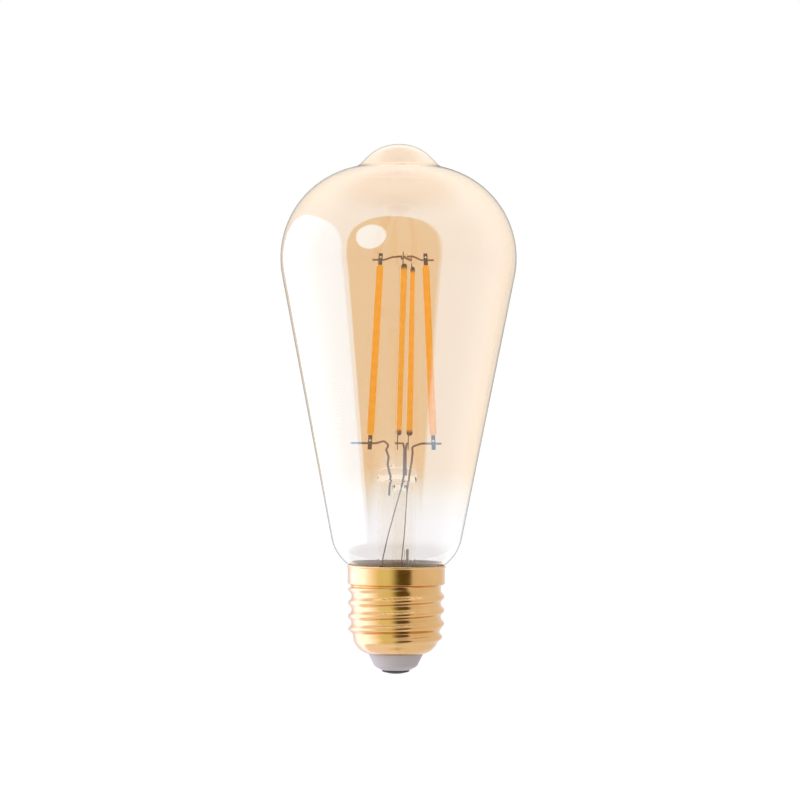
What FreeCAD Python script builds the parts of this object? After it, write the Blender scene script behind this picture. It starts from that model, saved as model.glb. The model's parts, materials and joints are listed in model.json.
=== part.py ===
import FreeCAD, Part
import math
import os
import re

import Sketcher

# A pear-shaped filament lamp on an Edison screw cap, standing upright on its centre contact.
# Millimetres, +Z up along the lamp's axis, origin at the middle of the centre contact's tip.
# The lamp faces -Y: its left filament is at -X and its right one at +X.

OUT = "parts"
os.makedirs(OUT, exist_ok=True)

doc = FreeCAD.newDocument("FilamentLamp")
sheet = doc.addObject("Spreadsheet::Sheet", "Dims")
X_AXIS = FreeCAD.Vector(1, 0, 0)
Z_AXIS = FreeCAD.Vector(0, 0, 1)

DIMENSIONS = {
    # blown glass envelope: neck, flared underside, straight cone, round dome, small nipple
    "glass_wall": 0.8,
    "neck_radius": 11.2,
    "neck_bottom": 21.5,
    "neck_shoulder_z": 28.0,
    "neck_fillet": 1.5,
    "belly_corner_r": 16.74,
    "belly_corner_z": 31.88,
    "belly_fillet": 12.0,
    "dome_corner_r": 36.03,
    "dome_corner_z": 130.58,
    "dome_fillet": 25.1,
    "nipple_foot_r": 11.3,
    "nipple_foot_z": 137.3,
    "nipple_foot_fillet": 4.0,
    "nipple_corner_r": 5.2,
    "nipple_fillet": 11.0,
    "lamp_height": 143.4,
    # stem: flared tube fused to the neck, pressed top, exhaust tube, rod with a bead
    "stem_radius": 5.2,
    "stem_wall": 0.9,
    "flare_radius": 10.4,
    "flare_z": 22.4,
    "flare_fillet": 5.0,
    "press_bottom": 51.0,
    "press_neck": 53.6,
    "press_top": 55.6,
    "press_thickness": 4.0,
    "exhaust_radius": 1.45,
    "exhaust_wall": 0.45,
    "exhaust_tip": 20.5,
    "exhaust_tip_fillet": 1.2,
    "exhaust_x": 0.7,
    "rod_radius": 1.35,
    "rod_foot_x": 0.5,
    "rod_foot_z": 54.6,
    "rod_length": 59.6,
    "rod_lean": 1.05,
    "bead_radius": 2.2,
    "bead_height": 3.6,
    "bead_fillet": 1.5,
    "bead_neck_fillet": 0.6,
    # wires
    "lead_radius": 0.28,
    "support_radius": 0.25,
    "outer_lead_radius": 0.15,
    "lead_bend": 0.7,
    "lead_overhang": 2.2,
    "lower_wire_z": 62.3,
    "upper_wire_z": 112.0,
    "left_foot_x": -7.4,
    "left_head_x": -4.9,
    "right_foot_x": 9.8,
    "right_head_x": 7.35,
    "front_foot_x": -0.33,
    "front_head_x": 0.85,
    "front_foot_y": -8.3,
    "front_head_y": -5.8,
    "back_foot_x": 2.6,
    "back_head_x": 3.2,
    "back_foot_y": 8.3,
    "back_head_y": 5.8,
    # filament: lengths measured from the wire each end hangs on
    "coat_width": 1.9,
    "coat_thickness": 1.3,
    "coat_fillet": 0.6,
    "coat_foot_gap": 2.2,
    "coat_head_gap": 1.4,
    "strip_width": 1.0,
    "strip_thickness": 0.4,
    "strip_end_gap": 0.5,
    "tab_width": 1.1,
    "tab_thickness": 0.25,
    "tab_foot_tail": 1.7,
    "tab_head_tail": 1.8,
    "tab_lap": 1.4,
    "tab_hole_radius": 0.28,
    "tab_hole_gap": 0.75,
    "chip_length": 1.0,
    "chip_width": 0.5,
    "chip_height": 0.15,
    "chip_count": 28,
    # brass screw shell
    "shell_wall": 0.3,
    "shell_mouth": 7.55,
    "shell_bottom": 5.37,
    "cup_radius": 11.6,
    "cup_corner_z": 6.42,
    "cup_fillet": 5.2,
    "cup_inner_rise": 0.23,
    "root_foot_z": 11.2,
    "root_z": 12.0,
    "thread_root": 12.1,
    "thread_crest": 13.05,
    "thread_pitch": 3.629,
    "thread_start": 8.34,
    "thread_azimuth": -120,
    "thread_height": 16.5,
    "thread_base": 10.3,
    "ridge_foot": 1.7,
    "ridge_flat": 0.22,
    "runout_r": 10.75,
    "runout_z": 7.6,
    "runout_rise": 2.3,
    "ridge_fillet": 0.25,
    "skirt_radius": 13.15,
    "skirt_foot_z": 23.9,
    "skirt_z": 24.3,
    "skirt_top": 28.3,
    "lip_top": 28.65,
    "lip_flare": 0.3,
    "shell_fillet": 0.7,
    # plastic insulator and domed centre contact
    "insulator_wide_r": 9.9,
    "insulator_wide_z": 7.15,
    "insulator_top": 8.0,
    "insulator_waist_r": 7.4,
    "insulator_waist_z": 5.3,
    "insulator_ledge_z": 5.78,
    "insulator_nose_r": 5.75,
    "insulator_nose_z": 2.0,
    "insulator_nose_fillet": 1.2,
    "insulator_bore": 1.25,
    "recess_inner": 2.6,
    "recess_outer": 6.0,
    "recess_floor": 3.2,
    "contact_radius": 3.7,
    "contact_flat": 1.6,
    "contact_edge_z": 0.6,
    "contact_thickness": 0.9,
    "contact_fillet": 3.0,
    "shank_radius": 1.2,
    "shank_top": 6.2,
    # cement between glass and shell
    "cement_bottom": 22.4,
    "meniscus_r": 12.7,
    "meniscus_z": 29.04,
    # insulating liner and circuit boards
    "liner_inner": 10.6,
    "liner_outer": 11.1,
    "liner_bottom": 10.2,
    "liner_top": 21.0,
    "board_radius": 10.4,
    "board_z": 17.5,
    "board_thickness": 1.0,
    "pin_radius": 0.3,
    "radio_width": 6.0,
    "radio_thickness": 0.8,
    "radio_height": 5.6,
    "radio_y": 2.8,
    "radio_chip_size": 3.6,
    "radio_chip_depth": 1.1,
    "antenna_radius": 0.4,
    # parts hanging under the driver board
    "can_radius": 3.15,
    "can_height": 7.4,
    "can_x": -5.6,
    "can_y": 1.5,
    "can_groove": 0.25,
    "can_pin_gap": 1.25,
    "drum_radius": 2.9,
    "drum_neck": 1.4,
    "drum_height": 6.3,
    "drum_flange": 1.0,
    "drum_x": 5.4,
    "drum_y": 2.2,
    "coil_radius": 2.5,
    "film_length": 7.0,
    "film_width": 2.8,
    "film_height": 6.0,
    "film_x": 0.5,
    "film_y": -6.6,
    "film_pin_gap": 2.5,
    "fuse_radius": 1.1,
    "fuse_bottom": 10.5,
    "fuse_top": 15.8,
    "sleeve_wall": 0.25,
    "sleeve_bottom": 9.6,
    "sleeve_top": 16.6,
    "live_wire_radius": 0.3,
    "neutral_wire_radius": 0.18,
    "neutral_solder_r": 9.3,
    "neutral_azimuth": 160,
    # parts standing on the driver board
    "bridge_length": 4.4,
    "bridge_width": 3.6,
    "bridge_height": 1.4,
    "bridge_x": 0.0,
    "bridge_y": 7.0,
    "driver_length": 4.9,
    "driver_width": 3.9,
    "driver_height": 1.5,
    "driver_x": 6.3,
    "driver_y": 0.8,
    "leg_width": 0.4,
    "leg_thickness": 0.2,
    "leg_reach": 0.5,
    "leg_pitch": 1.27,
    "resistor_length": 1.6,
    "resistor_width": 0.8,
    "resistor_height": 0.45,
    "ceramic_length": 2.0,
    "ceramic_width": 1.25,
    "ceramic_height": 0.9,
    "solder_radius": 0.65,
    "solder_tip": 0.3,
    "solder_height": 0.8,
}

RIGHT_SOLDER = (3.2, -4.0)
FRONT_SOLDER = (-4.4, -1.2)
RESISTOR_SPOTS = [(-1.2, -4.2), (0.9, -4.2), (0.5, -5.8), (0.5, -7.2), (-7.4, -1.4), (6.6, -4.8)]
CERAMIC_SPOTS = [(-6.4, -3.6), (-6.4, -5.6), (6.6, -2.8), (4.6, 6.8)]


def fill_sheet():
    """One row for each named dimension: its name, and the cell that carries the alias."""
    for row, (alias, value) in enumerate(DIMENSIONS.items(), 1):
        sheet.set(f"A{row}", alias)
        sheet.set(f"B{row}", str(value))
        sheet.setAlias(f"B{row}", alias)
    doc.recompute()


def number(formula):
    """Value of a sum or difference of named dimensions and plain numbers."""
    total = 0.0
    for sign, word in re.findall(r"([+-]?)\s*([\w.]+)", formula):
        value = float(sheet.get(word)) if word in DIMENSIONS else float(word)
        total += -value if sign == "-" else value
    return total


def bound(formula):
    """The same formula, written so that FreeCAD reads the names from the sheet."""
    return re.sub(r"[a-z]\w*", lambda name: "Dims." + name[0], formula)


def drive(thing, **formulas):
    """Tie properties of an object to formulas of the sheet."""
    for prop, formula in formulas.items():
        thing.setExpression(prop, bound(formula))


def shift(thing, x="0", y="0", z="0"):
    """Put an object at a place given by formulas of the sheet."""
    for axis, formula in zip("xyz", (x, y, z)):
        thing.setExpression(f"Placement.Base.{axis}", bound(formula))


def named(thing, label):
    thing.Label = label
    return thing


# ---------------------------------------------------------------- sketches

def origin_plane(body, role):
    return next(f for f in body.Origin.OriginFeatures if f.Role == role)


def new_sketch(body, label):
    """A sketch whose x is the radius and whose y is the height."""
    sketch = body.newObject("Sketcher::SketchObject", label)
    sketch.AttachmentSupport = (origin_plane(body, "XZ_Plane"), "")
    sketch.MapMode = "FlatFace"
    return sketch


def constrain(sketch, kind, *where, formula):
    """A dimension that follows a formula of the sheet."""
    index = sketch.addConstraint(Sketcher.Constraint(kind, *where, number(formula)))
    if re.search("[a-z]", formula):
        sketch.setExpression(f"Constraints[{index}]", bound(formula))


def rounding(before, corner, after, radius):
    """Start, end and centre of the arc that rounds a corner, and whether it turns left."""
    back = (before - corner).normalize()
    ahead = (after - corner).normalize()
    half = back.getAngle(ahead) / 2
    reach = radius / math.tan(half)
    centre = corner + (back + ahead).normalize() * (radius / math.sin(half))
    turns_left = back.cross(ahead).z < 0
    return corner + back * reach, corner + ahead * reach, centre, turns_left


def add_arc(sketch, centre, radius, start, end, turns_left):
    """Arc from start to end; returns it with the numbers of its first and last points."""
    angles = [math.atan2(p.y - centre.y, p.x - centre.x) for p in (start, end)]
    circle = Part.Circle(centre, Z_AXIS, radius)
    if turns_left:
        return sketch.addGeometry(Part.ArcOfCircle(circle, angles[0], angles[1]), False), 1, 2
    return sketch.addGeometry(Part.ArcOfCircle(circle, angles[1], angles[0]), False), 2, 1


def outline(sketch, corners, closed=True):
    """Straight lines through the corners, with a tangent arc wherever a corner has a radius.

    A corner is (radius from the axis, height, rounding or None), each a formula.
    Returns the lines, and for each corner the arc with its centre, ends and sense of turn.
    """
    count = len(corners)
    points = [FreeCAD.Vector(number(c[0]), number(c[1]), 0) for c in corners]
    bends = []
    for i, corner in enumerate(corners):
        if corner[2] is None:
            bends.append(None)
            continue
        start, end, centre, left = rounding(
            points[i - 1], points[i], points[(i + 1) % count], number(corner[2]))
        arc, first, last = add_arc(sketch, centre, number(corner[2]), start, end, left)
        bends.append({"arc": arc, "first": first, "last": last,
                      "start": start, "end": end, "centre": centre, "left": left})
    lines = []
    for i in range(count if closed else count - 1):
        ahead = (i + 1) % count
        start = bends[i]["end"] if bends[i] else points[i]
        end = bends[ahead]["start"] if bends[ahead] else points[ahead]
        lines.append(sketch.addGeometry(Part.LineSegment(start, end), False))
    for i, corner in enumerate(corners):
        mark = sketch.addGeometry(Part.Point(points[i]), True)
        constrain(sketch, "DistanceX", -1, 1, mark, 1, formula=corner[0])
        constrain(sketch, "DistanceY", -1, 1, mark, 1, formula=corner[1])
        sides = []
        if closed or i > 0:
            sides.append((lines[i - 1], 2, "first"))
        if closed or i < count - 1:
            sides.append((lines[i], 1, "last"))
        for line, end, which in sides:
            if bends[i]:
                arc_end = bends[i][which]
                sketch.addConstraint(
                    Sketcher.Constraint("Tangent", line, end, bends[i]["arc"], arc_end))
                sketch.addConstraint(Sketcher.Constraint("PointOnObject", mark, 1, line))
            else:
                sketch.addConstraint(Sketcher.Constraint("Coincident", line, end, mark, 1))
        if bends[i]:
            constrain(sketch, "Radius", bends[i]["arc"], formula=corner[2])
    return points, lines, bends


def close_skin(sketch, outer_line, inner_line, end, at_axis):
    """Join the two skins at one end, along the axis or square to the wall."""
    names = {line: sketch.getPoint(line, end) for line in (outer_line, inner_line)}
    cap = sketch.addGeometry(Part.LineSegment(names[outer_line], names[inner_line]), False)
    sketch.addConstraint(Sketcher.Constraint("Coincident", cap, 1, outer_line, end))
    sketch.addConstraint(Sketcher.Constraint("Coincident", cap, 2, inner_line, end))
    sketch.addConstraint(Sketcher.Constraint("Parallel", inner_line, outer_line))
    if at_axis:
        sketch.addConstraint(Sketcher.Constraint("PointOnObject", inner_line, end, -2))
    else:
        sketch.addConstraint(Sketcher.Constraint("Perpendicular", cap, outer_line))


def skin_outline(sketch, corners, wall):
    """An even wall whose outer face runs through the corners and whose body lies to the left."""
    points, lines, bends = outline(sketch, corners, closed=False)
    thickness = number(wall)
    inner_lines = []
    for i, line in enumerate(lines):
        direction = (points[i + 1] - points[i]).normalize()
        offset = FreeCAD.Vector(-direction.y, direction.x, 0) * thickness
        ends = [sketch.getPoint(line, 1) + offset, sketch.getPoint(line, 2) + offset]
        inner_lines.append(sketch.addGeometry(Part.LineSegment(*ends), False))
    for i, bend in enumerate(bends):
        if bend is None:
            continue
        formula = f"{corners[i][2]} {'-' if bend['left'] else '+'} {wall}"
        out = [(bend[k] - bend["centre"]).normalize() * number(formula) for k in ("start", "end")]
        arc, first, last = add_arc(sketch, bend["centre"], number(formula),
                                   bend["centre"] + out[0], bend["centre"] + out[1], bend["left"])
        sketch.addConstraint(Sketcher.Constraint("Coincident", bend["arc"], 3, arc, 3))
        sketch.addConstraint(Sketcher.Constraint("Tangent", inner_lines[i - 1], 2, arc, first))
        sketch.addConstraint(Sketcher.Constraint("Tangent", inner_lines[i], 1, arc, last))
        constrain(sketch, "Radius", arc, formula=formula)
    close_skin(sketch, lines[0], inner_lines[0], 1, number(corners[0][0]) == 0)
    close_skin(sketch, lines[-1], inner_lines[-1], 2, number(corners[-1][0]) == 0)


def spin(body, sketch, label="Turn", kind="PartDesign::Revolution"):
    """Turn a sketch once around the body's own axis."""
    turn = body.newObject(kind, label)
    turn.Profile = sketch
    turn.ReferenceAxis = (sketch, ["V_Axis"])
    turn.Angle = 360
    return turn


def lathe(label, corners):
    """A turned solid from a closed outline."""
    body = named(doc.addObject("PartDesign::Body", "Body"), label)
    sketch = new_sketch(body, "Profile")
    outline(sketch, corners)
    spin(body, sketch)
    return body


def turned_skin(label, corners, wall):
    """A turned hollow piece of even wall."""
    body = named(doc.addObject("PartDesign::Body", "Body"), label)
    sketch = new_sketch(body, "Profile")
    skin_outline(sketch, corners, wall)
    spin(body, sketch)
    return body


# ---------------------------------------------------------------- solids

def cylinder(label, radius, height, x="0", y="0", z="0"):
    solid = named(doc.addObject("Part::Cylinder", "Cylinder"), label)
    drive(solid, Radius=radius, Height=height)
    shift(solid, x, y, z)
    return solid


def block(label, length, width, height, x="0", y="0", z="0"):
    """A box centred on x and y that stands on z."""
    solid = named(doc.addObject("Part::Box", "Box"), label)
    drive(solid, Length=length, Width=width, Height=height)
    shift(solid, f"({x}) - ({length}) / 2", f"({y}) - ({width}) / 2", z)
    return solid


def group(label, pieces):
    together = named(doc.addObject("Part::Compound", "Group"), label)
    together.Links = pieces
    return together


def fuse(label, pieces):
    joined = named(doc.addObject("Part::MultiFuse", "Fuse"), label)
    joined.Shapes = pieces
    return joined


def cut(label, base, tools):
    result = named(doc.addObject("Part::Cut", "Cut"), label)
    result.Base = base
    result.Tool = tools[0] if len(tools) == 1 else group(f"{label} tools", tools)
    return result


def common(label, pieces):
    shared = named(doc.addObject("Part::MultiCommon", "Common"), label)
    shared.Shapes = pieces
    return shared


def round_edges(label, base, radius, wanted):
    """Round the edges of a solid that the test picks out."""
    doc.recompute()
    rounded = named(doc.addObject("Part::Fillet", "Round"), label)
    rounded.Base = base
    size = number(radius)
    rounded.Edges = [(i, size, size) for i, edge in enumerate(base.Shape.Edges, 1) if wanted(edge)]
    return rounded


def runs_along_z(edge):
    direction = edge.tangentAt(edge.FirstParameter)
    return abs(direction.z) > 0.99


def spot(point):
    """A place from three formulas or numbers."""
    return FreeCAD.Vector(*(number(str(value)) for value in point))


def bent_path(points, bend):
    """Edges through the points, with an arc of the bend radius at each inner one."""
    edges = []
    start = points[0]
    for before, corner, after in zip(points, points[1:], points[2:]):
        back = (before - corner).normalize()
        ahead = (after - corner).normalize()
        half = back.getAngle(ahead) / 2
        reach = bend / math.tan(half)
        first = corner + back * reach
        last = corner + ahead * reach
        middle = corner + (back + ahead).normalize() * (bend / math.sin(half) - bend)
        edges.append(Part.makeLine(start, first))
        edges.append(Part.Arc(first, middle, last).toShape())
        start = last
    edges.append(Part.makeLine(start, points[-1]))
    return Part.Wire(edges)


def wire(label, places, radius, bend="lead_bend"):
    """A round wire swept along a bent path."""
    points = [spot(place) for place in places]
    path = named(doc.addObject("Part::Feature", "Path"), f"{label} path")
    path.Shape = bent_path(points, number(bend))
    section = named(doc.addObject("Part::Circle", "Section"), f"{label} section")
    drive(section, Radius=radius)
    section.Placement = FreeCAD.Placement(
        points[0], FreeCAD.Rotation(Z_AXIS, points[1] - points[0]))
    swept = named(doc.addObject("Part::Sweep", "Wire"), label)
    swept.Sections = [section]
    swept.Spine = (path, [])
    swept.Solid = True
    swept.Frenet = False
    return swept


# ---------------------------------------------------------------- glass

def glass_envelope():
    return turned_skin("glass_envelope", [
        ("neck_radius", "neck_bottom", None),
        ("neck_radius", "neck_shoulder_z", "neck_fillet"),
        ("belly_corner_r", "belly_corner_z", "belly_fillet"),
        ("dome_corner_r", "dome_corner_z", "dome_fillet"),
        ("nipple_foot_r", "nipple_foot_z", "nipple_foot_fillet"),
        ("nipple_corner_r", "lamp_height", "nipple_fillet"),
        ("0", "lamp_height", None),
    ], "glass_wall")


def stem_tube():
    return turned_skin("stem_tube", [
        ("flare_radius", "flare_z", None),
        ("stem_radius", "flare_z", "flare_fillet"),
        ("stem_radius", "press_bottom", None),
    ], "stem_wall")


def exhaust_tube():
    tube = turned_skin("exhaust_tube", [
        ("0", "exhaust_tip", None),
        ("exhaust_radius", "exhaust_tip", "exhaust_tip_fillet"),
        ("exhaust_radius", "press_bottom", None),
    ], "exhaust_wall")
    shift(tube, x="exhaust_x")
    return tube


def rod_solid():
    """A rod with a rounded bead at its top, leaning a little to the right."""
    rod = lathe("stem rod solid", [
        ("0", "0", None),
        ("rod_radius", "0", None),
        ("rod_radius", "rod_length - bead_height", "bead_neck_fillet"),
        ("bead_radius", "rod_length - bead_height", "bead_neck_fillet"),
        ("bead_radius", "rod_length", "bead_fillet"),
        ("0", "rod_length", None),
    ])
    rod.Placement = FreeCAD.Placement(
        spot(("rod_foot_x", 0, "rod_foot_z")),
        FreeCAD.Rotation(FreeCAD.Vector(0, 1, 0), number("rod_lean")))
    return rod


def press_solid():
    """The pinched top of the stem: a round plug squeezed flat from front and back."""
    plug = cylinder("press plug", "stem_radius", "press_top - press_bottom", z="press_bottom")
    taper = named(doc.addObject("Part::Wedge", "Wedge"), "press taper")
    drive(taper, Xmin="-stem_radius", X2min="-stem_radius", Xmax="stem_radius", X2max="stem_radius",
          Ymin="press_bottom", Ymax="press_neck", Zmin="-stem_radius", Zmax="stem_radius",
          Z2min="-press_thickness / 2", Z2max="press_thickness / 2")
    taper.Placement = FreeCAD.Placement(FreeCAD.Vector(), FreeCAD.Rotation(X_AXIS, 90))
    blade = block("press blade", "2 * stem_radius", "press_thickness",
                  "press_top - press_neck", z="press_neck")
    pinch = fuse("press pinch", [taper, blade])
    return common("press solid", [plug, pinch])


# ---------------------------------------------------------------- wires inside the glass

def inner_wires():
    """Leads and lower supports that rise out of the press, and the supports in the bead."""
    past_left = "left_foot_x - lead_overhang - 3.0"
    past_right = "right_foot_x + lead_overhang"
    low, high = "lower_wire_z", "upper_wire_z"
    return {
        "inner_lead_right": wire("inner_lead_right", [
            (2.8, 0, 50.3), (3.15, 0, 52.7), (3.9, 0, 57.0), (4.2, 0, 60.0), (4.0, 0, 61.4),
            (6.6, 0, low), (past_right, 0, low)], "lead_radius"),
        "inner_lead_front": wire("inner_lead_front", [
            (1.2, -1.9, 50.5), (1.8, -1.5, 53.4), (1.9, -1.5, 61.0), (1.6, -3.2, low),
            ("front_foot_x", "front_foot_y + 1.6", low),
            ("front_foot_x", "front_foot_y - lead_overhang", low)], "lead_radius"),
        "lower_support_left": wire("lower_support_left", [
            (-2.1, 0, 48.2), (-2.0, 0, 50.5), (-1.65, 0, 53.0), (-2.6, 0, 56.6), (-2.3, 0, 58.6),
            (-3.0, 0, 60.6), (-2.3, 0, 61.8), (-3.6, 0, 62.9), ("left_foot_x + 1.6", 0, low),
            (past_left, 0, low)], "lead_radius", "bead_neck_fillet"),
        "lower_support_back": wire("lower_support_back", [
            (2.3, 1.1, 53.4), (2.3, 1.1, 60.6), ("back_foot_x", 3.6, low),
            ("back_foot_x", "back_foot_y + lead_overhang", low)], "lead_radius"),
        "upper_support_left": wire("upper_support_left", [
            (1.0, 0, 112.9), (-1.6, 0, 112.8), ("left_head_x + 1.0", 0, high),
            ("left_head_x - lead_overhang", 0, high)], "support_radius"),
        "upper_support_right": wire("upper_support_right", [
            (2.2, 0, 112.9), (4.2, 0, 112.9), ("right_head_x - 1.2", 0, high),
            ("right_head_x + lead_overhang", 0, high)], "support_radius"),
        "upper_support_front": wire("upper_support_front", [
            (1.6, -0.8, 112.9), (1.7, -2.9, 112.7), ("front_head_x", "front_head_y + 1.0", high),
            ("front_head_x", "front_head_y - lead_overhang", high)], "support_radius"),
        "upper_support_back": wire("upper_support_back", [
            (1.6, 0.8, 112.9), (1.8, 2.9, 112.7), ("back_head_x", "back_head_y - 1.0", high),
            ("back_head_x", "back_head_y + lead_overhang", high)], "support_radius"),
    }


def outer_leads():
    """Thin copper leads from the press down to the driver board."""
    tip = "board_z + board_thickness + solder_height + 0.03"
    return {
        "outer_lead_right": wire("outer_lead_right", [
            (2.8, 0, 50.27), (2.1, -1.4, 38.2), (1.4, -1.9, 30.9), (2.5, -3.0, 23.0),
            (*RIGHT_SOLDER, tip)], "outer_lead_radius"),
        "outer_lead_front": wire("outer_lead_front", [
            (1.2, -1.9, 50.45), (-0.65, -2.2, 43.7), (-2.3, -2.1, 37.4), (-3.65, -1.2, 30.9),
            (-4.2, -1.2, 24.0), (*FRONT_SOLDER, tip)], "outer_lead_radius"),
    }


# ---------------------------------------------------------------- filaments

def filament_pose(foot, head, turn):
    """Frame with z from foot to head and x turned about the lamp's axis by so many degrees."""
    along = (head - foot).normalize()
    side = FreeCAD.Rotation(Z_AXIS, turn).multVec(X_AXIS)
    rotation = FreeCAD.Rotation(side, along.cross(side), along, "ZXY")
    return FreeCAD.Placement(foot, rotation)


def filament_tab(label, z, height, hole_z):
    """A flat metal tab with a small hole, behind the strip."""
    y = "support_radius + tab_thickness / 2 + 0.03"
    plate = block(f"{label} plate", "tab_width", "tab_thickness", height, y=y, z=z)
    drill = cylinder(f"{label} drill", "tab_hole_radius", "1")
    drill.Placement.Rotation = FreeCAD.Rotation(X_AXIS, 90)
    shift(drill, y="1", z=hole_z)
    return cut(f"{label} tab", plate, [drill])


def filament(name, foot, head, turn):
    """One LED strip: carrier, row of chips, coat over both, and a metal tab at each end."""
    foot, head = spot(foot), spot(head)
    span = f"{(head - foot).Length:.4f}"
    pose = filament_pose(foot, head, turn)
    coat_length = f"({span} - coat_foot_gap - coat_head_gap)"
    strip_y = "support_radius + 0.03 + tab_thickness + strip_thickness / 2"
    strip = block(f"{name} strip", "strip_width", "strip_thickness",
                  f"{coat_length} - 2 * strip_end_gap", y=strip_y,
                  z="coat_foot_gap + strip_end_gap")
    chips = []
    pitch = f"({coat_length} - 2 * strip_end_gap - 2) / chip_count"
    for i in range(int(number("chip_count"))):
        chips.append(block(f"{name} chip {i}", "chip_width", "chip_height", "chip_length",
                           y=f"{strip_y} + strip_thickness / 2 + chip_height / 2",
                           z=f"coat_foot_gap + strip_end_gap + 1.3 + {i} * {pitch}"))
    tabs = [
        filament_tab(f"{name} foot", "-tab_foot_tail",
                     "tab_foot_tail + coat_foot_gap + tab_lap", "tab_hole_gap"),
        filament_tab(f"{name} head", f"{span} - coat_head_gap - tab_lap",
                     "tab_head_tail + coat_head_gap + tab_lap", f"{span} + tab_hole_gap"),
    ]
    bar = block(f"{name} bar", "coat_width", "coat_thickness", coat_length,
                y=strip_y, z="coat_foot_gap")
    coat = cut(f"filament_{name}_phosphor",
               round_edges(f"{name} coat", bar, "coat_fillet", runs_along_z),
               [strip, *chips, *tabs])
    pieces = [
        group(f"filament_{name}_substrate", [strip]),
        group(f"filament_{name}_led_chips", chips),
        group(f"filament_{name}_terminals", tabs),
        coat,
    ]
    for piece in pieces:
        piece.Placement = pose
    return pieces


def all_filaments():
    low, high = "lower_wire_z", "upper_wire_z"
    return [
        *filament("left", ("left_foot_x", 0, low), ("left_head_x", 0, high), 180),
        *filament("right", ("right_foot_x", 0, low), ("right_head_x", 0, high), 180),
        *filament("front", ("front_foot_x", "front_foot_y", low),
                  ("front_head_x", "front_head_y", high), -90),
        *filament("back", ("back_foot_x", "back_foot_y", low),
                  ("back_head_x", "back_head_y", high), -90),
    ]


# ---------------------------------------------------------------- cap

def threaded_shell():
    """Thin brass cup, rolled thread and plain skirt with a small turned-out lip."""
    body = named(doc.addObject("PartDesign::Body", "Body"), "threaded shell")
    outside = new_sketch(body, "Outside")
    outline(outside, [
        ("0", "shell_bottom", None),
        ("shell_mouth", "shell_bottom", None),
        ("cup_radius", "cup_corner_z", "cup_fillet"),
        ("cup_radius", "root_foot_z", "shell_fillet"),
        ("thread_root", "root_z", "shell_fillet"),
        ("thread_root", "skirt_foot_z", "shell_wall"),
        ("skirt_radius", "skirt_z", "shell_fillet"),
        ("skirt_radius", "skirt_top", "shell_fillet"),
        ("skirt_radius + lip_flare", "lip_top", None),
        ("0", "lip_top", None),
    ])
    spin(body, outside, "Blank")
    ridge = new_sketch(body, "Ridge")
    outline(ridge, [
        ("thread_base", "thread_start - ridge_foot", None),
        ("thread_crest", "thread_start - ridge_flat", "ridge_fillet"),
        ("thread_crest", "thread_start + ridge_flat", "ridge_fillet"),
        ("thread_base", "thread_start + ridge_foot", None),
    ])
    thread = body.newObject("PartDesign::AdditiveHelix", "Thread")
    thread.Profile = ridge
    thread.ReferenceAxis = (ridge, ["V_Axis"])
    thread.Mode = 0
    drive(thread, Pitch="thread_pitch", Height="thread_height")
    inside = new_sketch(body, "Inside")
    outline(inside, [
        ("0", "shell_bottom - 1", None),
        ("shell_mouth", "shell_bottom - 1", None),
        ("shell_mouth", "shell_bottom + shell_wall", None),
        ("cup_radius - shell_wall", "cup_corner_z + cup_inner_rise", "cup_fillet - shell_wall"),
        ("cup_radius - shell_wall", "root_foot_z", "shell_fillet"),
        ("thread_root - shell_wall", "root_z", "shell_fillet"),
        ("thread_root - shell_wall", "skirt_foot_z", "shell_wall"),
        ("skirt_radius - shell_wall", "skirt_z", "shell_wall"),
        ("skirt_radius - shell_wall", "skirt_top", "shell_wall"),
        ("skirt_radius - shell_wall + lip_flare + lip_flare", "lip_top + lip_flare", None),
        ("0", "lip_top + lip_flare", None),
    ])
    spin(body, inside, "Hollow", "PartDesign::Groove")
    body.Placement = FreeCAD.Placement(
        FreeCAD.Vector(), FreeCAD.Rotation(Z_AXIS, number("thread_azimuth")))
    return body


def screw_shell():
    """The shell with its lowest turn of thread running out into the cup."""
    runout = lathe("thread runout", [
        ("0", "0", None),
        ("runout_r", "0", None),
        ("runout_r", "runout_z", None),
        ("skirt_radius + 1", "runout_z + runout_rise", None),
        ("skirt_radius + 1", "lip_top + 1", None),
        ("0", "lip_top + 1", None),
    ])
    return common("screw_shell", [threaded_shell(), runout])


def cap_insulator():
    return lathe("cap_insulator", [
        ("insulator_bore", "contact_thickness", None),
        ("contact_radius", "contact_thickness", None),
        ("insulator_nose_r", "insulator_nose_z", "insulator_nose_fillet"),
        ("insulator_waist_r", "insulator_waist_z", None),
        ("insulator_waist_r", "insulator_ledge_z", None),
        ("insulator_wide_r", "insulator_wide_z", None),
        ("insulator_wide_r", "insulator_top", None),
        ("recess_outer", "insulator_top", None),
        ("recess_outer", "recess_floor", None),
        ("recess_inner", "recess_floor", None),
        ("recess_inner", "insulator_top", None),
        ("insulator_bore", "insulator_top", None),
    ])


def contact_pin():
    return lathe("contact_pin", [
        ("0", "0", None),
        ("contact_flat", "0", "contact_fillet"),
        ("contact_radius", "contact_edge_z", None),
        ("contact_radius", "contact_thickness", None),
        ("shank_radius", "contact_thickness", None),
        ("shank_radius", "shank_top", None),
        ("0", "shank_top", None),
    ])


def base_cement():
    """Ring that fills the gap between the neck and the shell, up to the glass underside."""
    return lathe("base_cement", [
        ("neck_radius", "cement_bottom", None),
        ("thread_root - shell_wall", "cement_bottom", None),
        ("thread_root - shell_wall", "skirt_foot_z", "shell_wall"),
        ("skirt_radius - shell_wall", "skirt_z", "shell_wall"),
        ("skirt_radius - shell_wall", "skirt_top", "shell_wall"),
        ("skirt_radius", "lip_top", None),
        ("meniscus_r", "meniscus_z", None),
        ("neck_radius", "neck_shoulder_z", "neck_fillet"),
    ])


def insulating_liner():
    return lathe("insulating_liner", [
        ("liner_inner", "liner_bottom", None),
        ("liner_outer", "liner_bottom", None),
        ("liner_outer", "liner_top", None),
        ("liner_inner", "liner_top", None),
    ])


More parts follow.
